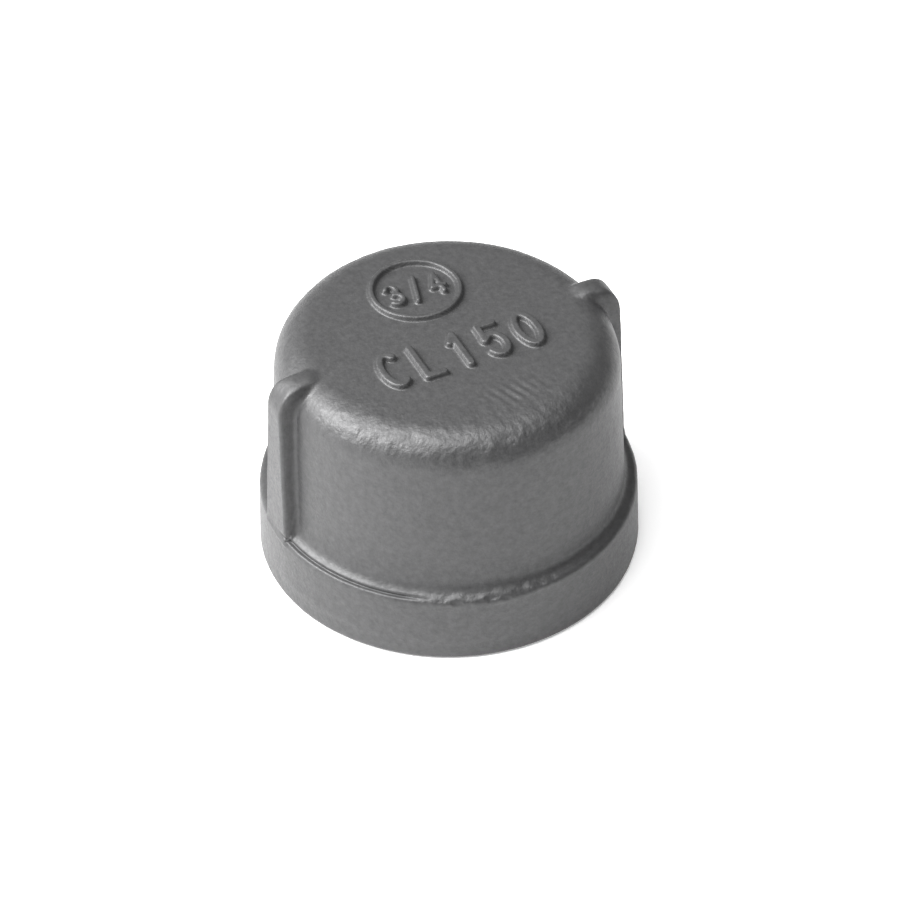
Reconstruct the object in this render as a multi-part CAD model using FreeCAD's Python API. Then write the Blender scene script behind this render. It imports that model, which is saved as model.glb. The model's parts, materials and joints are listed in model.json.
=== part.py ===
import FreeCAD, Part
import math
import os

from FreeCAD import Vector

# Pipe cap, nominal size 3/4 inch, class 150: one malleable-iron casting, tapped with a taper pipe thread.
# Frame: the mouth is down. Z = 0 is the rim face, Z runs up along the thread axis to the closed end,
# and X runs through the two side ribs. All lengths are millimetres.

# Body, from the rim up
BAND_RADIUS = 18.5
BAND_TOP_RADIUS = 18.3
BAND_HEIGHT = 7.2
RIM_EDGE_RADIUS = 0.6
BAND_EDGE_RADIUS = 0.45
BARREL_FOOT_RADIUS = 17.0
BARREL_TOP_RADIUS = 16.4
FOOT_FILLET = 0.7
OVERALL_HEIGHT = 24.6
SHOULDER_RADIUS = 3.4

# Inside
WALL = 3.1
CHAMBER_RADIUS = BARREL_TOP_RADIUS - WALL
CHAMBER_TOP = OVERALL_HEIGHT - WALL - 0.2
CHAMBER_CORNER_RADIUS = 2.4
THREAD_END = 13.8
COUNTERSINK_RADIUS = 13.6

# Taper pipe thread 3/4-14, right-hand
PITCH = 25.4 / 14.0
PITCH_RADIUS_AT_RIM = 25.117 / 2.0
HALF_THREAD_HEIGHT = 0.4 * PITCH
TAPER = 1.0 / 32.0
BORE_RADIUS = 11.95
FLANK_TANGENT = math.tan(math.radians(30.0))
THREAD_RUN_OUT = 2.2
BORE_SECTORS = 12
SECTIONS_PER_TURN = 24
SECTION_OFFSET = 1.0 / 72.0

# Side ribs, wider and further out at the foot by the pattern's draft
RIB_TOP = 25.0
RIB_TOP_WIDTH = 2.6
RIB_FOOT_WIDTH = 4.9
RIB_TOP_RADIUS = 17.9
RIB_FOOT_RADIUS = 18.3
RIB_INNER_RADIUS = 13.4
RIB_FOOT = BAND_HEIGHT / 2.0
RIB_CORNER_RADIUS = 3.0
RIB_SHIFT = 0.4

# Raised marks on the closed end
RELIEF = 0.5
RELIEF_ROOT = 0.3
RING_CENTRE_Y = 7.0
RING_RADIUS = 4.25
RING_LINE = 0.6
RING_FIGURE_HEIGHT = 3.3
RING_FIGURE_STEP = 2.2
RING_FIGURE_LINE = 0.55
ROW_TEXT = "CL150"
ROW_CENTRE_Y = -2.9
ROW_HEIGHT = 5.2
ROW_GLYPH_WIDTH = 3.0
ROW_GLYPH_STEP = 3.5
ROW_LINE = 0.8


def arc_points(centre_x, centre_y, radius_x, radius_y, start, end, count):
    """Points on an ellipse arc, angles in degrees."""
    points = []
    for index in range(count + 1):
        angle = math.radians(start + (end - start) * index / count)
        points.append((centre_x + radius_x * math.cos(angle), centre_y + radius_y * math.sin(angle)))
    return points


def glyph_lines(name):
    """Centre lines of a letter or figure in a box from (-0.5, -0.5) to (0.5, 0.5)."""
    if name == "0":
        return [arc_points(0.0, 0.0, 0.45, 0.5, 0.0, 360.0, 16)]
    if name == "1":
        return [[(-0.22, 0.28), (0.05, 0.5), (0.05, -0.5)]]
    if name == "3":
        upper = arc_points(-0.02, 0.25, 0.36, 0.25, 150.0, -90.0, 8)
        lower = arc_points(-0.02, -0.25, 0.42, 0.25, 90.0, -150.0, 8)
        return [upper + lower[1:]]
    if name == "4":
        return [[(0.15, -0.5), (0.15, 0.5), (-0.42, -0.2), (0.42, -0.2)]]
    if name == "5":
        bowl = arc_points(-0.02, -0.17, 0.42, 0.33, 110.0, -150.0, 10)
        return [[(0.38, 0.5), (-0.36, 0.5), (-0.4, 0.02)] + bowl]
    if name == "C":
        return [arc_points(0.05, 0.0, 0.47, 0.5, 52.0, 308.0, 12)]
    if name == "L":
        return [[(-0.36, 0.5), (-0.36, -0.5), (0.38, -0.5)]]
    return [[(-0.3, -0.6), (0.3, 0.6)]]


def stroke_solids(points, line, base, height):
    """A raised line of constant width along a polyline, as overlapping bars and round ends."""
    solids = []
    for start, end in zip(points, points[1:]):
        length = math.hypot(end[0] - start[0], end[1] - start[1])
        bar = Part.makeBox(length, line, height, Vector(0, -line / 2.0, base))
        angle = math.degrees(math.atan2(end[1] - start[1], end[0] - start[0]))
        bar.rotate(Vector(0, 0, 0), Vector(0, 0, 1), angle)
        bar.translate(Vector(start[0], start[1], 0))
        solids.append(bar)
    for x, y in points:
        solids.append(Part.makeCylinder(line / 2.0, height, Vector(x, y, base)))
    return solids


def glyph(name, centre_x, centre_y, width, height, line):
    """One raised letter or figure standing on the closed end."""
    base = OVERALL_HEIGHT - RELIEF_ROOT
    solids = []
    for outline in glyph_lines(name):
        placed = [
            (centre_x + x * (width - line), centre_y + y * (height - line))
            for x, y in outline
        ]
        solids += stroke_solids(placed, line, base, RELIEF_ROOT + RELIEF)
    return solids


def raised_marks():
    """The ring with the nominal size in it, and the row with the pressure class."""
    base = OVERALL_HEIGHT - RELIEF_ROOT
    centre = Vector(0, RING_CENTRE_Y, base)
    ring = Part.makeCylinder(RING_RADIUS + RING_LINE / 2.0, RELIEF_ROOT + RELIEF, centre)
    ring = ring.cut(Part.makeCylinder(RING_RADIUS - RING_LINE / 2.0, RELIEF_ROOT + RELIEF, centre))
    marks = [ring]
    figure_width = RING_FIGURE_HEIGHT * 0.62
    for index, name in enumerate("3/4"):
        place = (index - 1) * RING_FIGURE_STEP
        marks += glyph(name, place, RING_CENTRE_Y, figure_width, RING_FIGURE_HEIGHT, RING_FIGURE_LINE)
    middle = (len(ROW_TEXT) - 1) / 2.0
    for index, name in enumerate(ROW_TEXT):
        place = (index - middle) * ROW_GLYPH_STEP
        marks += glyph(name, place, ROW_CENTRE_Y, ROW_GLYPH_WIDTH, ROW_HEIGHT, ROW_LINE)
    return marks


def polyline(points):
    return [Part.LineSegment(start, end).toShape() for start, end in zip(points, points[1:])]


def arc(start, middle, end):
    return Part.Arc(start, middle, end).toShape()


def rounded(centre_r, centre_z, radius, start_angle, end_angle):
    """A profile arc in the RZ plane, angles in degrees."""
    points = []
    for angle in (start_angle, (start_angle + end_angle) / 2.0, end_angle):
        turn = math.radians(angle)
        points.append(Vector(centre_r + radius * math.cos(turn), 0, centre_z + radius * math.sin(turn)))
    return points


def revolve(edges):
    face = Part.Face(Part.Wire(edges))
    return face.revolve(Vector(0, 0, 0), Vector(0, 0, 1), 360)


def outer_body():
    """The cap without ribs, marks or bore: rim, band, foot fillet, tapered barrel and round shoulder."""
    rim = rounded(BAND_RADIUS - RIM_EDGE_RADIUS, RIM_EDGE_RADIUS, RIM_EDGE_RADIUS, -90, 0)
    band_edge = rounded(
        BAND_TOP_RADIUS - BAND_EDGE_RADIUS, BAND_HEIGHT - BAND_EDGE_RADIUS, BAND_EDGE_RADIUS, 0, 90
    )
    foot = rounded(
        BARREL_FOOT_RADIUS + FOOT_FILLET, BAND_HEIGHT + FOOT_FILLET, FOOT_FILLET, -90, -180
    )
    shoulder = rounded(
        BARREL_TOP_RADIUS - SHOULDER_RADIUS, OVERALL_HEIGHT - SHOULDER_RADIUS, SHOULDER_RADIUS, 0, 90
    )
    axis_bottom = Vector(0, 0, 0)
    edges = polyline([axis_bottom, rim[0]])
    last = None
    for turn in (rim, band_edge, foot, shoulder):
        if last:
            edges += polyline([last, turn[0]])
        edges.append(arc(*turn))
        last = turn[2]
    edges += polyline([last, Vector(0, 0, OVERALL_HEIGHT), axis_bottom])
    return revolve(edges)


def side_rib(side):
    """One upright rib, side = 1 at +X or -1 at -X, from inside the band to the round shoulder."""
    corner = rounded(
        RIB_TOP_RADIUS - RIB_CORNER_RADIUS, RIB_TOP - RIB_CORNER_RADIUS, RIB_CORNER_RADIUS, 0, 90
    )
    foot_inner = Vector(RIB_INNER_RADIUS, 0, RIB_FOOT)
    edges = polyline([foot_inner, Vector(RIB_FOOT_RADIUS, 0, RIB_FOOT), corner[0]])
    edges.append(arc(*corner))
    edges += polyline([corner[2], Vector(RIB_INNER_RADIUS, 0, RIB_TOP), foot_inner])
    upright = Part.Face(Part.Wire(edges)).extrude(Vector(0, RIB_FOOT_WIDTH, 0))
    upright.translate(Vector(0, -RIB_FOOT_WIDTH / 2.0, 0))
    half_foot = RIB_FOOT_WIDTH / 2.0
    half_top = RIB_TOP_WIDTH / 2.0
    ends = [(-half_foot, RIB_FOOT), (half_foot, RIB_FOOT), (half_top, RIB_TOP), (-half_top, RIB_TOP)]
    outline = [Vector(0, y, z) for y, z in ends + ends[:1]]
    draft = Part.Face(Part.makePolygon(outline)).extrude(Vector(BAND_RADIUS, 0, 0))
    rib = upright.common(draft)
    if side < 0:
        rib.rotate(Vector(0, 0, 0), Vector(0, 0, 1), 180)
    else:
        # The two mould halves met a little out of line, so this rib is off the other's centre.
        rib.translate(Vector(0, RIB_SHIFT, 0))
    return rib


def cavity():
    """The space inside: countersunk mouth, straight bore for the thread crests, and the chamber above."""
    below = 1.0
    step = 360.0 / BORE_SECTORS
    sectors = []
    for index in range(BORE_SECTORS):
        sector = Part.makeCylinder(
            BORE_RADIUS, THREAD_END + below, Vector(0, 0, -below), Vector(0, 0, 1), step
        )
        sector.rotate(Vector(0, 0, 0), Vector(0, 0, 1), step * index)
        sectors.append(sector)
    bore = sectors[0].fuse(sectors[1:])
    countersink_depth = COUNTERSINK_RADIUS - BORE_RADIUS
    countersink = Part.makeCone(
        COUNTERSINK_RADIUS + below, BORE_RADIUS, countersink_depth + below, Vector(0, 0, -below)
    )
    corner = rounded(
        CHAMBER_RADIUS - CHAMBER_CORNER_RADIUS,
        CHAMBER_TOP - CHAMBER_CORNER_RADIUS,
        CHAMBER_CORNER_RADIUS,
        0,
        90,
    )
    slope_height = CHAMBER_RADIUS - BORE_RADIUS
    chamber_bottom = Vector(0, 0, THREAD_END - 1.0)
    edges = polyline([
        chamber_bottom,
        Vector(BORE_RADIUS, 0, THREAD_END - 1.0),
        Vector(BORE_RADIUS, 0, THREAD_END),
        Vector(CHAMBER_RADIUS, 0, THREAD_END + slope_height),
        corner[0],
    ])
    edges.append(arc(*corner))
    edges += polyline([corner[2], Vector(0, 0, CHAMBER_TOP), chamber_bottom])
    return bore, countersink, revolve(edges)


def thread_section(turn, top):
    """The thread groove's outline after a number of turns down from the top."""
    z = top - PITCH * turn
    angle = -2.0 * math.pi * turn
    pitch_radius = PITCH_RADIUS_AT_RIM - z * TAPER
    inner = pitch_radius - HALF_THREAD_HEIGHT
    outer = pitch_radius + HALF_THREAD_HEIGHT
    half_mouth = PITCH / 4.0 + HALF_THREAD_HEIGHT * FLANK_TANGENT
    half_root = PITCH / 4.0 - HALF_THREAD_HEIGHT * FLANK_TANGENT
    outline = [(inner, -half_mouth), (outer, -half_root), (outer, half_root), (inner, half_mouth)]
    corners = [Vector(r * math.cos(angle), r * math.sin(angle), z + rise) for r, rise in outline]
    return Part.makePolygon(corners + [corners[0]])


def thread_cutter():
    """The helical ridge of a mating pipe, from inside the chamber down past the rim."""
    top = THREAD_END + THREAD_RUN_OUT
    turns = (top + PITCH) / PITCH
    count = math.ceil(turns * SECTIONS_PER_TURN)
    sections = [
        thread_section(SECTION_OFFSET + index / SECTIONS_PER_TURN, top) for index in range(count + 1)
    ]
    return Part.makeLoft(sections, True, True)


def cap_casting():
    body = outer_body().fuse([side_rib(1), side_rib(-1)] + raised_marks()).removeSplitter()
    body = body.cut(list(cavity()))
    body = body.cut(thread_cutter())
    return body.Solids[0]


os.makedirs("parts", exist_ok=True)
casting = cap_casting()
casting.exportStep(os.path.join("parts", "cap_casting.step"))
print("cap_casting", casting.ShapeType, "solids", len(casting.Solids), "faces", len(casting.Faces))
print("valid", casting.isValid(), "volume", round(casting.Volume, 1), casting.BoundBox)
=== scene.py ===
import json
import math

import bpy
import numpy as np
from mathutils import Matrix, Vector, noise
from mathutils.geometry import delaunay_2d_cdt


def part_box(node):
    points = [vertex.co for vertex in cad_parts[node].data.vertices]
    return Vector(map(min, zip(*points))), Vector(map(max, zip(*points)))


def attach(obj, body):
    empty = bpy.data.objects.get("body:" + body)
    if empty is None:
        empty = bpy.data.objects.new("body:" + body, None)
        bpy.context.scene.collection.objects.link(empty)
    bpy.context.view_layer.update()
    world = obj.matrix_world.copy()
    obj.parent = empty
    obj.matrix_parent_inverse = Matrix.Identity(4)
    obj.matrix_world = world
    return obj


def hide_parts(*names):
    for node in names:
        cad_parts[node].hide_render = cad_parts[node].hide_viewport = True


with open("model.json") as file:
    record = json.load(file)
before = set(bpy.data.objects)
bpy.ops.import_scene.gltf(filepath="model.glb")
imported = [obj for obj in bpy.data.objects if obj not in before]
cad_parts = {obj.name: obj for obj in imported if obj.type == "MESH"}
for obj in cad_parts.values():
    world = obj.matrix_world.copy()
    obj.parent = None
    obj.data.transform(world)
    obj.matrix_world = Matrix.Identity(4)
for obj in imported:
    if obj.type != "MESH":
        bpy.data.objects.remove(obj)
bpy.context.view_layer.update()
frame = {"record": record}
NODE = "cap_casting"
MM = 0.001

# Sizes are in millimetres and azimuths in degrees from +X. The band's radius and the height of
# the closed end come from the frame's own box and the bore's radius from its record; the other
# sizes are those of the same design.
HIGH = np.array(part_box(NODE)[1]) / MM
RELIEF = 0.5
BAND_RADIUS = float(HIGH[0])
TOP_Z = float(HIGH[2]) - RELIEF
CROWN = 0.1
BAND_HEIGHT = 7.2
BAND_EDGE = 0.55
BAND_DRAFT = 0.03
BARREL_TOP_RADIUS = 16.4
BARREL_DRAFT = 0.045
SHOULDER_RADIUS = 3.4
SHOULDER_INNER_RADIUS = BARREL_TOP_RADIUS - SHOULDER_RADIUS

# The fillet at the barrel's foot, heavier round one azimuth, and the narrow fold beside it.
FOOT_BLEND = 1.1
HEAVY_FOOT = 0.9
HEAVY_FOOT_AZIMUTH = 225.0
HEAVY_FOOT_REACH = 32.0
HEAVY_FOOT_FADE = 25.0
FOLD_RADIUS = 17.84
FOLD_Z = 7.15
FOLD_WIDTH = 0.15
FOLD_DEPTH = 0.26
FOLD_LOWEST_Z = 6.2
FOLD_AZIMUTH = 210.0
FOLD_REACH = 20.0
FOLD_FADE = 9.0

RIB_OUTER_RADIUS = 17.9
RIB_WIDTH = 2.6
RIB_TOP = 25.0
RIB_CORNER = 3.1
RIB_CREST = 1.1
RIB_INNER_RADIUS = 13.1
RIB_INNER_EDGE = 1.4
RIB_EDGE = 0.35
RIB_BLEND = 0.45
RIB_DRAFT = 0.02
RIB_FLARE = 0.055
RIB_SHIFT = 0.4
RIB_SINK = 0.4

THREAD = next(m for m in frame["record"]["mounts"] if m["name"] == "pipe_thread")
PITCH = 25.4 / 14.0
PITCH_RADIUS_AT_RIM = 25.117 / 2.0
HALF_THREAD_HEIGHT = 0.4 * PITCH
TAPER = 1.0 / 32.0
BORE_RADIUS = THREAD["dims"]["r_mm"]
COUNTERSINK_RADIUS = 13.6
THREAD_END = 13.8
CHAMBER_RADIUS = 13.3
CHAMBER_TOP = 21.3
CHAMBER_CORNER = 2.4
MACHINED_TOP = 15.2

# The mesh: where the rays that find the band's outside start, how many rows each stretch of the
# section has, and the circles across the rim.
RAY_LENGTH = 12.0
RAY_HALVINGS = 34
FAN_RADIUS = 15.8
FAN_Z = 4.6
FAN_LAST_ANGLE = 6.0
SHOULDER_ROWS = 22
WALL_ROWS = 31
FOOT_ROWS = 48
BAND_ROWS = 10
RIM_EDGE_ROWS = 9
RIM_RADII = (17.0, 16.3, 15.6)
RIM_INNER_RADII = (14.9, 14.2)
TOP_GRID = 0.11

RING_CENTRE = (0.0, 7.0)
RING_RADIUS = 4.25
RING_LINE = 0.6
RING_FIGURE = (2.05, 3.3)
RING_FIGURE_STEP = 2.2
RING_FIGURE_LINE = 0.55
ROW_TEXT = "CL150"
ROW_CENTRE_Y = -2.9
ROW_FIGURE = (3.0, 5.2)
ROW_STEP = 3.5
ROW_LINE = 0.8
WORN_CENTRE = (2.2, -10.3)
WORN_SPREAD = (2.7, 1.4)
WORN_SLANT = 0.35
WORN_PITCH = 0.95
WORN_HEIGHT = 0.055


def smooth_step(value):
    t = np.clip(value, 0.0, 1.0)
    return t * t * (3.0 - 2.0 * t)


def smooth_union(a, b, blend):
    """Union of two distance fields with a fillet of about the blend's size."""
    mix = np.maximum(blend - np.abs(a - b), 0.0) / blend
    return np.minimum(a, b) - mix * mix * blend / 4.0


def rounded_slab(u, v, edge):
    """Distance to a 2D corner region whose sides are u = 0 and v = 0, with a rounded corner."""
    outside = np.hypot(np.maximum(u + edge, 0.0), np.maximum(v + edge, 0.0))
    inside = np.minimum(np.maximum(u, v) + edge, 0.0)
    return outside + inside - edge


def barrel_distance(r, z):
    radius = BARREL_TOP_RADIUS + BARREL_DRAFT * (TOP_Z - SHOULDER_RADIUS - z)
    barrel = rounded_slab(r - radius, z - TOP_Z, SHOULDER_RADIUS)
    return np.maximum(barrel, BAND_HEIGHT / 2.0 - z)


def band_distance(r, z):
    middle = BAND_HEIGHT / 2.0
    radius = BAND_RADIUS - BAND_DRAFT * z
    return rounded_slab(r - radius, np.abs(z - middle) - middle, BAND_EDGE)


def rib_distance(x, y, z):
    """Both side ribs: drafted flanks and face, a round crest and a round outer corner.

    The +X rib sits a little off the other's line, as the two mould halves left it.
    """
    drop = RIB_TOP - z
    y = np.where(x > 0.0, y - RIB_SHIFT, y)
    ends = rounded_slab(np.abs(x) - RIB_OUTER_RADIUS - RIB_DRAFT * drop, -drop, RIB_CORNER)
    flanks = rounded_slab(np.abs(y) - RIB_WIDTH / 2.0 - RIB_FLARE * drop, -drop, RIB_CREST)
    rib = rounded_slab(ends, flanks, RIB_EDGE)
    rib = rounded_slab(rib, RIB_INNER_RADIUS - np.abs(x), RIB_INNER_EDGE)
    return np.maximum(rib, BAND_HEIGHT - RIB_SINK - z)


def angle_gap(angle, centre):
    return np.abs((angle - centre + 180.0) % 360.0 - 180.0)


def around(angle, centre, reach, fade):
    """1 within the reach of an azimuth in degrees, falling to 0 over the fade."""
    return 1.0 - smooth_step((angle_gap(angle, centre) - reach) / fade)


def groove_depth(r, z, angle):
    """The narrow fold the foundry left along the band's shelf, in front of the -X rib."""
    across = ((r - FOLD_RADIUS) - (z - FOLD_Z)) / math.sqrt(2.0)
    on_shelf = smooth_step((z - FOLD_LOWEST_Z) / 0.4)
    along = around(angle, FOLD_AZIMUTH, FOLD_REACH, FOLD_FADE)
    return FOLD_DEPTH * np.exp(-((across / FOLD_WIDTH) ** 2)) * on_shelf * along


def cast_noise(points, size, seed):
    """Smooth noise in about -1 to 1 at each point, with features of the given size in mm."""
    offset = Vector((seed * 17.3, seed * 5.1, seed * 9.7))
    return np.array([noise.noise(Vector(p) / size + offset) for p in points])


def cap_distance(x, y, z):
    r = np.hypot(x, y)
    angle = np.degrees(np.arctan2(y, x))
    heavy = around(angle, HEAVY_FOOT_AZIMUTH, HEAVY_FOOT_REACH, HEAVY_FOOT_FADE)
    foot_blend = FOOT_BLEND + HEAVY_FOOT * heavy
    body = smooth_union(barrel_distance(r, z), band_distance(r, z), foot_blend)
    body = smooth_union(body, rib_distance(x, y, z), RIB_BLEND)
    return body + groove_depth(r, z, angle)


def surface_along(origin_r, origin_z, turn):
    """Points where rays from inside leave the casting; turn is the angle above the horizontal.

    The three are arrays of rows by columns, one column for each of ANGLES.
    """
    near = np.zeros(turn.shape)
    far = np.full(turn.shape, RAY_LENGTH)
    cosine = np.cos(ANGLES)
    sine = np.sin(ANGLES)
    for _ in range(RAY_HALVINGS):
        middle = (near + far) / 2.0
        r = origin_r + middle * np.cos(turn)
        z = origin_z + middle * np.sin(turn)
        inside = cap_distance(r * cosine, r * sine, z) < 0.0
        near = np.where(inside, middle, near)
        far = np.where(inside, far, middle)
    r = origin_r + near * np.cos(turn)
    z = origin_z + near * np.sin(turn)
    return np.stack([r * cosine, r * sine, z], axis=2)


def column_angles():
    """Column angles in radians: close together at the ribs' sides, even elsewhere."""
    spacing_points = [0.0, 3.6, 4.2, 4.5, 5.9, 6.6, 9.0, 90.0]
    spacing = [0.42, 0.36, 0.14, 0.1, 0.1, 0.3, 0.95, 0.98]
    quarter = [0.0]
    while quarter[-1] < 90.0:
        quarter.append(quarter[-1] + np.interp(quarter[-1], spacing_points, spacing))
    quarter = np.array(quarter) * 90.0 / quarter[-1]
    half = np.concatenate([quarter[:-1], 180.0 - quarter[::-1][:-1]])
    full = np.concatenate([half, half + 180.0])
    return np.radians(full)


ANGLES = column_angles()
COLUMNS = len(ANGLES)


def fan_rows(centre_r, centre_z, first, last, count):
    """Rows met by rays fanning out from one point of the section, angles in degrees."""
    share = np.linspace(0.0, 1.0, count)[:, None]
    turn = np.radians(first + share * (last - first)) * np.ones(COLUMNS)
    return surface_along(centre_r, centre_z, turn)


def level_rows(centre_r, first_z, last_z, count):
    heights = np.linspace(first_z, last_z, count)[:, None] * np.ones(COLUMNS)
    return surface_along(centre_r, heights, np.zeros(heights.shape))


def outer_rows():
    """The outside from the shoulder's inner edge down to the rim, as rows of points."""
    shoulder_z = TOP_Z - SHOULDER_RADIUS
    foot_z = BAND_HEIGHT + 1.8
    wall = level_rows(SHOULDER_INNER_RADIUS, shoulder_z - 0.35, foot_z, WALL_ROWS)
    # The fan in the band starts where each column's wall ended, so the rows never cross.
    foot_r = np.hypot(wall[-1, :, 0], wall[-1, :, 1])
    foot_turn = np.degrees(np.arctan2(foot_z - FAN_Z, foot_r - FAN_RADIUS))
    parts = [
        fan_rows(SHOULDER_INNER_RADIUS, shoulder_z, 90.0, 0.0, SHOULDER_ROWS),
        wall,
        fan_rows(FAN_RADIUS, FAN_Z, foot_turn, FAN_LAST_ANGLE, FOOT_ROWS)[1:],
        level_rows(FAN_RADIUS, 4.4, 1.0, BAND_ROWS),
        fan_rows(17.3, 1.2, -12.0, -86.0, RIM_EDGE_ROWS),
    ]
    return np.concatenate(parts, axis=0)


def ring_rows(profile, angles):
    """Rows of points round the axis, one for each (radius, height) pair."""
    r = np.array([p[0] for p in profile])[:, None]
    z = np.array([p[1] for p in profile])[:, None]
    return np.stack([r * np.cos(angles), r * np.sin(angles), z + 0.0 * angles], axis=2)


def smooth_max(a, b, blend):
    return -smooth_union(-a, -b, blend)


def inner_radius(angle, z):
    """Radius of the wall inside: countersink, tapered thread groove, bore crest and chamber."""
    thread_top = THREAD_END + 2.2
    rise = (z - thread_top) / PITCH - angle / (2.0 * math.pi)
    from_groove = np.abs((rise + 0.5) % 1.0 - 0.5) * PITCH
    pitch_radius = PITCH_RADIUS_AT_RIM - TAPER * z
    flank = (PITCH / 4.0 - from_groove) / math.tan(math.radians(30.0))
    groove = pitch_radius - smooth_max(-flank, np.full_like(flank, -HALF_THREAD_HEIGHT), 0.12)
    bore = np.full_like(z, BORE_RADIUS)
    wall = smooth_max(groove, bore, 0.06)
    wall = smooth_max(wall, COUNTERSINK_RADIUS - z, 0.06)
    chamber = np.minimum(CHAMBER_RADIUS, BORE_RADIUS + z - THREAD_END)
    return smooth_max(wall, chamber, 0.08)


def inner_rows(angles):
    """The inside from the rim up to the chamber's ceiling."""
    heights = np.concatenate([np.arange(0.0, 15.5, 0.152), [15.8, 16.6, 17.4, 18.2]])
    z, angle = np.meshgrid(heights, angles, indexing="ij")
    r = inner_radius(angle, z)
    wall = np.stack([r * np.cos(angle), r * np.sin(angle), z], axis=2)
    corner_r = CHAMBER_RADIUS - CHAMBER_CORNER
    corner_z = CHAMBER_TOP - CHAMBER_CORNER
    profile = []
    for turn in np.radians(np.linspace(0.0, 90.0, 8)):
        r_corner = corner_r + CHAMBER_CORNER * math.cos(turn)
        profile.append((r_corner, corner_z + CHAMBER_CORNER * math.sin(turn)))
    for r_ceiling in (9.4, 7.6, 5.6, 3.6, 1.8):
        profile.append((r_ceiling, CHAMBER_TOP))
    return np.concatenate([wall, ring_rows(profile, angles)], axis=0)


# Raised marks


def arc_points(centre, radii, start, end, count):
    turn = np.radians(np.linspace(start, end, count))
    return [(centre[0] + radii[0] * math.cos(t), centre[1] + radii[1] * math.sin(t)) for t in turn]


def figure_lines(name):
    """Centre line of a figure in a box from (-0.5, -0.5) to (0.5, 0.5)."""
    if name == "0":
        return arc_points((0.0, 0.0), (0.45, 0.5), 0.0, 360.0, 25)
    if name == "1":
        return [(-0.22, 0.28), (0.05, 0.5), (0.05, -0.5)]
    if name == "3":
        upper = arc_points((-0.02, 0.25), (0.36, 0.25), 150.0, -90.0, 12)
        return upper + arc_points((-0.02, -0.25), (0.42, 0.25), 90.0, -150.0, 12)[1:]
    if name == "4":
        return [(0.15, -0.5), (0.15, 0.5), (-0.42, -0.2), (0.42, -0.2)]
    if name == "5":
        bowl = arc_points((-0.02, -0.17), (0.42, 0.33), 110.0, -150.0, 14)
        return [(0.38, 0.5), (-0.36, 0.5), (-0.4, 0.02)] + bowl
    if name == "C":
        return arc_points((0.05, 0.0), (0.47, 0.5), 52.0, 308.0, 20)
    if name == "L":
        return [(-0.36, 0.5), (-0.36, -0.5), (0.38, -0.5)]
    return [(-0.3, -0.6), (0.3, 0.6)]


def mark_strokes():
    """Every raised line as (start x, start y, end x, end y, half width)."""
    strokes = []

    def add(points, half_width):
        for start, end in zip(points, points[1:]):
            strokes.append((*start, *end, half_width))

    def add_figure(name, centre, size, line):
        scale = (size[0] - line, size[1] - line)
        lines = figure_lines(name)
        points = [(centre[0] + x * scale[0], centre[1] + y * scale[1]) for x, y in lines]
        add(points, line / 2.0)

    add(arc_points(RING_CENTRE, (RING_RADIUS, RING_RADIUS), 0.0, 360.0, 49), RING_LINE / 2.0)
    for index, name in enumerate("3/4"):
        place = ((index - 1) * RING_FIGURE_STEP, RING_CENTRE[1])
        add_figure(name, place, RING_FIGURE, RING_FIGURE_LINE)
    middle = (len(ROW_TEXT) - 1) / 2.0
    for index, name in enumerate(ROW_TEXT):
        place = ((index - middle) * ROW_STEP, ROW_CENTRE_Y)
        add_figure(name, place, ROW_FIGURE, ROW_LINE)
    return np.array(strokes)


def mark_edge(points):
    """How far each flat point lies outside the nearest raised line's edge; negative on the line."""
    strokes = mark_strokes()
    start, end, half_width = strokes[:, 0:2], strokes[:, 2:4], strokes[:, 4]
    along = end - start
    length_squared = (along**2).sum(1)
    nearest = np.full(len(points), 99.0)
    for a, d, l2, w in zip(start, along, length_squared, half_width):
        t = np.clip(((points - a) @ d) / l2, 0.0, 1.0)
        gap = np.hypot(*(points - a - t[:, None] * d).T) - w
        nearest = np.minimum(nearest, gap)
    return nearest


def worn_share(points):
    """1 in the middle of the worn mark near the front of the closed end, falling to 0 around it."""
    x, y = points[:, 0] - WORN_CENTRE[0], points[:, 1] - WORN_CENTRE[1]
    return np.exp(-((x / WORN_SPREAD[0]) ** 2) - ((y / WORN_SPREAD[1]) ** 2))


def worn_lines(points):
    """Faint slanting lines, the remains of that mark."""
    slant = points[:, 0] + WORN_SLANT * points[:, 1]
    return worn_share(points) * np.sin(slant * 2.0 * math.pi / WORN_PITCH)


def top_points():
    """Points inside the ring, close together along the marks' edges and wide apart between them."""
    reach = int(SHOULDER_INNER_RADIUS / TOP_GRID) // 8 * 8 + 8
    index = np.arange(-reach, reach + 1)
    i, j = (a.ravel() for a in np.meshgrid(index, index))
    points = np.stack([i, j], axis=1) * TOP_GRID
    r = np.hypot(points[:, 0], points[:, 1])
    points, i, j, r = (a[r < SHOULDER_INNER_RADIUS - 0.2] for a in (points, i, j, r))
    wanted = 0.1 + 0.55 * np.maximum(np.abs(mark_edge(points)) - 0.16, 0.0)
    wanted = np.minimum(wanted, np.where(r > SHOULDER_INNER_RADIUS - 3.0, 0.4, 0.9))
    wanted = np.minimum(wanted, np.where(worn_share(points) > 0.15, 0.2, 0.9))
    keep = np.zeros(len(points), bool)
    for level in (1, 2, 4, 8):
        on_level = (i % level == 0) & (j % level == 0)
        keep |= on_level & (wanted <= level * TOP_GRID * 1.4)
    keep |= (i % 8 == 0) & (j % 8 == 0)
    return points[keep]


def top_faces(ring):
    """Triangles of the closed end inside the ring: (flat points, faces); the ring comes first."""
    inner = top_points()
    flat = [Vector(p) for p in ring] + [Vector(p) for p in inner]
    loop = list(range(len(ring)))
    verts, _, faces, *_ = delaunay_2d_cdt(flat, [], [loop], 1, 1e-7)
    return np.array([tuple(v) for v in verts]), faces


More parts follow.
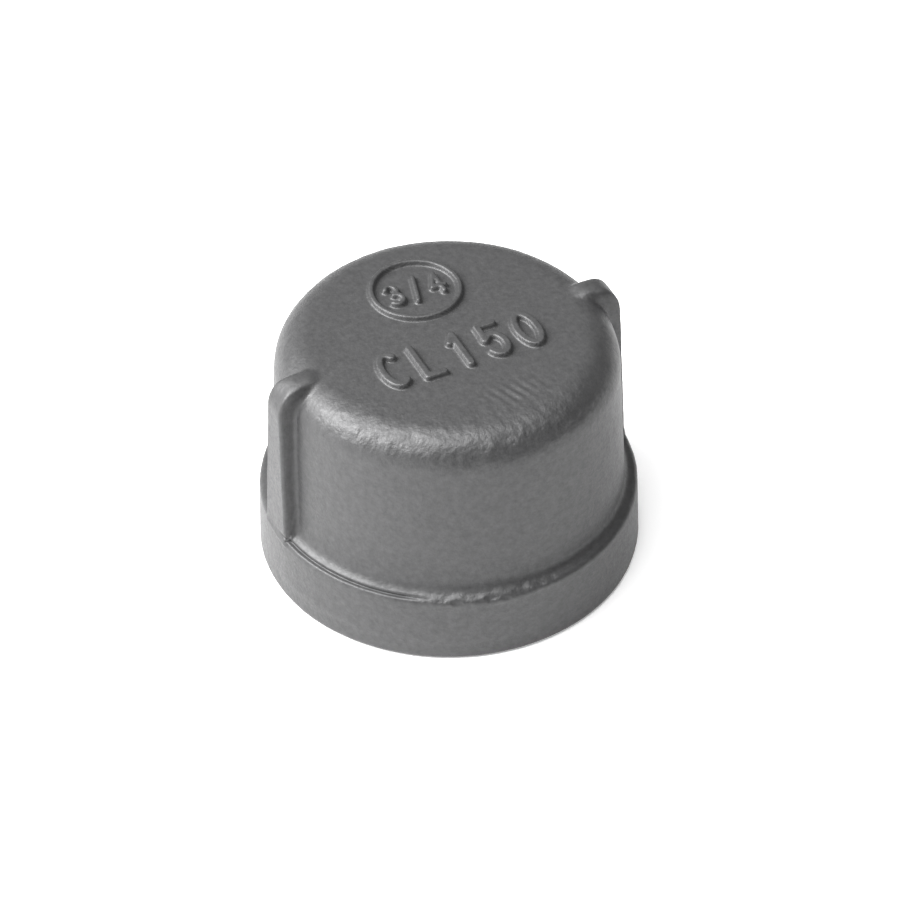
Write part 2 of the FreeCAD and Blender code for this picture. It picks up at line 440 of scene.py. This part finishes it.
def stack_faces(rows, columns, first):
    """Quads between rows of a closed stack."""
    faces = []
    for j in range(rows - 1):
        a = first + j * columns
        b = a + columns
        for i in range(columns):
            n = (i + 1) % columns
            faces.append((a + i, b + i, b + n, a + n))
    return faces


def halving_faces(upper, columns, lower):
    """Triangles between a row and the next one, which has half as many points."""
    faces = []
    half = columns // 2
    for k in range(half):
        a, b, c = upper + 2 * k, upper + 2 * k + 1, upper + (2 * k + 2) % columns
        p, q = lower + k, lower + (k + 1) % half
        faces += [(a, p, b), (b, p, q), (b, q, c)]
    return faces


def vertex_normals(points, faces):
    mesh = bpy.data.meshes.new("scratch")
    mesh.from_pydata(points.tolist(), [], faces)
    normals = np.zeros(len(points) * 3, np.float32)
    mesh.vertex_normals.foreach_get("vector", normals)
    bpy.data.meshes.remove(mesh)
    return normals.reshape(-1, 3)


def build_cap():
    outer = outer_rows()
    rim = ring_rows([(r, 0.0) for r in RIM_RADII], ANGLES)
    outer = np.concatenate([outer, rim], axis=0)
    half_angles = ANGLES[::2]
    rim_inner = ring_rows([(r, 0.0) for r in RIM_INNER_RADII], half_angles)
    inner = np.concatenate([rim_inner, inner_rows(half_angles)])
    flat, triangles = top_faces(outer[0, :, :2])
    assert len(flat) >= COLUMNS and np.allclose(flat[:COLUMNS], outer[0, :, :2], atol=1e-5)
    edge = mark_edge(flat)
    relief = RELIEF * smooth_step((0.1 - edge) / 0.22)
    crown = CROWN * (1.0 - (np.hypot(*flat.T) / SHOULDER_INNER_RADIUS) ** 2)
    top = np.column_stack([flat, TOP_Z + crown + relief])
    stack = outer.reshape(-1, 3)[COLUMNS:]
    bore = inner.reshape(-1, 3)
    centre = np.array([[0.0, 0.0, CHAMBER_TOP]])
    points = np.concatenate([top, stack, bore, centre])

    # Row 0 of the outside is the top's ring, so the stack below it joins on to those points.
    first_stack = len(top)
    first_bore = first_stack + len(stack)
    faces = [tuple(f) for f in triangles]
    for i in range(COLUMNS):
        n = (i + 1) % COLUMNS
        faces.append((i, first_stack + i, first_stack + n, n))
    faces += stack_faces(len(outer) - 1, COLUMNS, first_stack)
    faces += halving_faces(first_bore - COLUMNS, COLUMNS, first_bore)
    half = COLUMNS // 2
    faces += stack_faces(len(inner), half, first_bore)
    last = len(points) - 1
    for k in range(half):
        faces.append((last - half + k, last, last - half + (k + 1) % half))
    return points, faces, first_bore


def coarse_patches(points):
    """Where the casting is roughest: the front of the shoulder, and beads on the shelf below it."""
    r = np.hypot(points[:, 0], points[:, 1])
    angle = np.degrees(np.arctan2(points[:, 1], points[:, 0]))
    z = points[:, 2]
    shoulder = np.exp(-(((z - 23.6) / 1.5) ** 2)) * smooth_step((r - 10.0) / 2.0)
    shelf = np.exp(-(((z - 7.1) / 0.55) ** 2)) * smooth_step((r - 16.6) / 0.4)
    return shoulder * around(angle, 250.0, 40.0, 25.0), shelf * around(angle, 257.0, 14.0, 12.0)


def foundry_skin(points):
    """Height of the as-cast surface above the smooth shape, in mm."""
    z = points[:, 2]
    shoulder, shelf = coarse_patches(points)
    waves = 0.03 * cast_noise(points, 3.4, 1) + 0.02 * cast_noise(points, 1.3, 2)
    waves += 0.012 * cast_noise(points, 0.6, 3)
    waves += shoulder * (0.08 * cast_noise(points, 1.15, 4) + 0.04 * cast_noise(points, 0.6, 5))
    waves += shelf * (0.12 * cast_noise(points, 0.9, 6) + 0.14 * cast_noise(points, 0.55, 7))
    waves += np.where(z > 23.0, WORN_HEIGHT * worn_lines(points), 0.0)
    return waves * smooth_step((z - 0.05) / 0.5)


def roughened(points, faces, first_bore):
    """The foundry surface on the outside; nothing is added to the machined rim and thread."""
    normals = vertex_normals(points, faces)
    moved = points.copy()
    moved[:first_bore] += normals[:first_bore] * foundry_skin(points[:first_bore])[:, None]
    return moved


def add_attribute(mesh, name, values):
    attribute = mesh.attributes.new(name, "FLOAT", "POINT")
    attribute.data.foreach_set("value", values.astype(np.float32))


def cap_object():
    points, faces, first_bore = build_cap()
    shoulder, shelf = coarse_patches(points)
    coarse = shoulder + shelf
    coarse[first_bore:] = 0.0
    points = roughened(points, faces, first_bore)
    mesh = bpy.data.meshes.new("cap_casting_skin")
    mesh.from_pydata((points * MM).tolist(), [], faces)
    mesh.validate()
    mesh.shade_smooth()
    machined = np.where(points[:, 2] < 0.08, 1.0, 0.0)
    machined[first_bore:] = np.where(points[first_bore:, 2] < MACHINED_TOP, 1.0, 0.0)
    add_attribute(mesh, "machined", machined)
    add_attribute(mesh, "coarse", coarse)
    cap = bpy.data.objects.new("cap_casting_skin", mesh)
    bpy.context.scene.collection.objects.link(cap)
    return cap


# Materials


def new_material(name):
    material = bpy.data.materials.new(name)
    material.use_nodes = True
    tree = material.node_tree
    tree.nodes.clear()
    shader = tree.nodes.new("ShaderNodeBsdfPrincipled")
    output = tree.nodes.new("ShaderNodeOutputMaterial")
    tree.links.new(shader.outputs["BSDF"], output.inputs["Surface"])
    return material, tree, shader


def noise_node(tree, coordinates, scale, detail, roughness):
    node = tree.nodes.new("ShaderNodeTexNoise")
    node.inputs["Scale"].default_value = scale
    node.inputs["Detail"].default_value = detail
    node.inputs["Roughness"].default_value = roughness
    tree.links.new(coordinates, node.inputs["Vector"])
    return node


def colour_ramp(tree, value, stops):
    ramp = tree.nodes.new("ShaderNodeValToRGB")
    elements = ramp.color_ramp.elements
    while len(elements) < len(stops):
        elements.new(0.5)
    for element, (place, grey) in zip(elements, stops):
        element.position = place
        element.color = (*grey, 1.0)
    tree.links.new(value, ramp.inputs["Fac"])
    return ramp.outputs["Color"]


def mix_colour(tree, factor, a, b):
    node = tree.nodes.new("ShaderNodeMix")
    node.data_type = "RGBA"
    tree.links.new(factor, node.inputs["Factor"])
    tree.links.new(a, node.inputs["A"])
    tree.links.new(b, node.inputs["B"])
    return node.outputs["Result"]


def map_range(tree, value, low, high, to_low, to_high):
    node = tree.nodes.new("ShaderNodeMapRange")
    node.inputs["From Min"].default_value = low
    node.inputs["From Max"].default_value = high
    node.inputs["To Min"].default_value = to_low
    node.inputs["To Max"].default_value = to_high
    tree.links.new(value, node.inputs["Value"])
    return node.outputs["Result"]


def maths(tree, operation, a, b):
    """A Math node of two inputs, each a socket or a number."""
    node = tree.nodes.new("ShaderNodeMath")
    node.operation = operation
    for place, value in enumerate((a, b)):
        if isinstance(value, float):
            node.inputs[place].default_value = value
        else:
            tree.links.new(value, node.inputs[place])
    return node.outputs["Value"]


def cast_iron():
    material, tree, shader = new_material("cast_iron_skin")
    coordinates = tree.nodes.new("ShaderNodeTexCoord").outputs["Object"]
    mottle = noise_node(tree, coordinates, 1500.0, 5.0, 0.65).outputs["Fac"]
    grain = noise_node(tree, coordinates, 3600.0, 3.0, 0.6).outputs["Fac"]
    pits = noise_node(tree, coordinates, 1900.0, 2.0, 0.5).outputs["Fac"]
    skin = colour_ramp(tree, mottle, [(0.3, (0.053, 0.053, 0.054)), (0.7, (0.076, 0.076, 0.077))])
    metal = colour_ramp(tree, grain, [(0.35, (0.36, 0.36, 0.365)), (0.65, (0.44, 0.44, 0.445))])
    machined = tree.nodes.new("ShaderNodeAttribute")
    machined.attribute_name = "machined"
    tree.links.new(mix_colour(tree, machined.outputs["Fac"], skin, metal), shader.inputs["Base Color"])
    tree.links.new(map_range(tree, grain, 0.3, 0.7, 0.42, 0.56), shader.inputs["Roughness"])
    shader.inputs["Metallic"].default_value = 0.45
    coarse = tree.nodes.new("ShaderNodeAttribute")
    coarse.attribute_name = "coarse"
    pit_share = map_range(tree, coarse.outputs["Fac"], 0.0, 1.0, 0.5, 1.9)
    pit_depth = maths(tree, "MULTIPLY", pits, pit_share)
    as_cast = maths(tree, "SUBTRACT", 1.0, machined.outputs["Fac"])
    cast_depth = maths(tree, "MULTIPLY", pit_depth, as_cast)
    height = maths(tree, "ADD", cast_depth, maths(tree, "MULTIPLY", grain, 0.45))
    bump = tree.nodes.new("ShaderNodeBump")
    bump.inputs["Strength"].default_value = 0.6
    bump.inputs["Distance"].default_value = 0.00009
    tree.links.new(height, bump.inputs["Height"])
    tree.links.new(bump.outputs["Normal"], shader.inputs["Normal"])
    return material


def floor_material():
    """Pale paper that gives off a little light, so that the cap's shadow on it stays faint."""
    material, tree, shader = new_material("studio_floor")
    coordinates = tree.nodes.new("ShaderNodeTexCoord").outputs["Object"]
    paper = noise_node(tree, coordinates, 60.0, 2.0, 0.5).outputs["Fac"]
    tone = colour_ramp(tree, paper, [(0.3, (0.79, 0.79, 0.79)), (0.7, (0.81, 0.81, 0.81))])
    tree.links.new(tone, shader.inputs["Base Color"])
    shader.inputs["Roughness"].default_value = 0.9
    shader.inputs["Emission Color"].default_value = (1.0, 1.0, 1.0, 1.0)
    shader.inputs["Emission Strength"].default_value = 0.32
    return material


# Studio, in metres
FLOOR_HALF_SIZE = 3.0
LAMP_AIM_Z = 0.012
LAMP_DISTANCE = 0.6
LAMP_SIZE = 0.4


def add_floor():
    mesh = bpy.data.meshes.new("floor")
    s = FLOOR_HALF_SIZE
    mesh.from_pydata([(-s, -s, 0), (s, -s, 0), (s, s, 0), (-s, s, 0)], [], [(0, 1, 2, 3)])
    floor = bpy.data.objects.new("floor", mesh)
    floor.data.materials.append(floor_material())
    bpy.context.scene.collection.objects.link(floor)


# The camera looks from the front, turned a little towards the -X rib.
CAMERA_TURN = math.radians(-25.0)
CAMERA_ELEVATION = math.radians(41.3)
CAMERA_DISTANCE = 0.4
FOCAL_SHARE = 4.633
CAMERA_ROLL = math.radians(-0.6)
AIM_Z = 0.01245
AIM_DROP = 0.00178
AIM_RIGHT = 0.00017


def camera_axes(turn, elevation):
    """Right, up and back directions of a camera at that turn and elevation."""
    level = math.cos(elevation)
    back = Vector((math.sin(turn) * level, -math.cos(turn) * level, math.sin(elevation)))
    right = Vector((math.cos(turn), math.sin(turn), 0.0))
    return right, back.cross(right), back


def add_camera():
    right, up, back = camera_axes(CAMERA_TURN, CAMERA_ELEVATION)
    position = Vector((0, 0, AIM_Z)) + back * CAMERA_DISTANCE
    target = Vector((0, 0, AIM_Z)) - up * AIM_DROP + right * AIM_RIGHT
    away = (position - target).normalized()
    side = up.cross(away).normalized()
    turn = Matrix.Rotation(CAMERA_ROLL, 3, away)
    axes = Matrix((turn @ side, turn @ away.cross(side), away)).transposed()
    data = bpy.data.cameras.new("camera")
    data.sensor_width = 36.0
    data.lens = FOCAL_SHARE * data.sensor_width
    data.clip_end = 10.0
    camera = bpy.data.objects.new("camera", data)
    camera.matrix_world = Matrix.Translation(position) @ axes.to_4x4()
    bpy.context.scene.collection.objects.link(camera)
    bpy.context.scene.camera = camera


def area_light(name, turn, elevation, power):
    """A square lamp that looks at the cap; the turn is counted from the camera's, in degrees."""
    data = bpy.data.lights.new(name, "AREA")
    data.size = LAMP_SIZE
    data.energy = power
    lamp = bpy.data.objects.new(name, data)
    right, up, back = camera_axes(CAMERA_TURN + math.radians(turn), math.radians(elevation))
    axes = Matrix((right, up, back)).transposed()
    place = Vector((0, 0, LAMP_AIM_Z)) + back * LAMP_DISTANCE
    lamp.matrix_world = Matrix.Translation(place) @ axes.to_4x4()
    bpy.context.scene.collection.objects.link(lamp)


def add_world():
    """A dim room, lighter behind the cap on the key lamp's side."""
    world = bpy.data.worlds.new("studio")
    world.use_nodes = True
    tree = world.node_tree
    direction = tree.nodes.new("ShaderNodeTexCoord").outputs["Generated"]
    towards = tree.nodes.new("ShaderNodeVectorMath")
    towards.operation = "DOT_PRODUCT"
    _, _, lighter_side = camera_axes(CAMERA_TURN + math.radians(-150.0), math.radians(20.0))
    towards.inputs[1].default_value = lighter_side
    tree.links.new(direction, towards.inputs[0])
    share = map_range(tree, towards.outputs["Value"], -0.8, 0.8, 0.0, 1.0)
    tone = colour_ramp(tree, share, [(0.0, (0.06, 0.06, 0.06)), (1.0, (0.31, 0.31, 0.31))])
    tree.links.new(tone, tree.nodes["Background"].inputs["Color"])
    bpy.context.scene.world = world


def add_light():
    add_world()
    area_light("key", -84.0, 40.0, 9.8)
    area_light("top", -35.0, 78.0, 4.4)
    bpy.context.scene.view_settings.view_transform = "Standard"


cap = cap_object()
cap.data.materials.append(cast_iron())
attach(cap, "root")
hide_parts(NODE)
add_floor()
add_camera()
add_light()
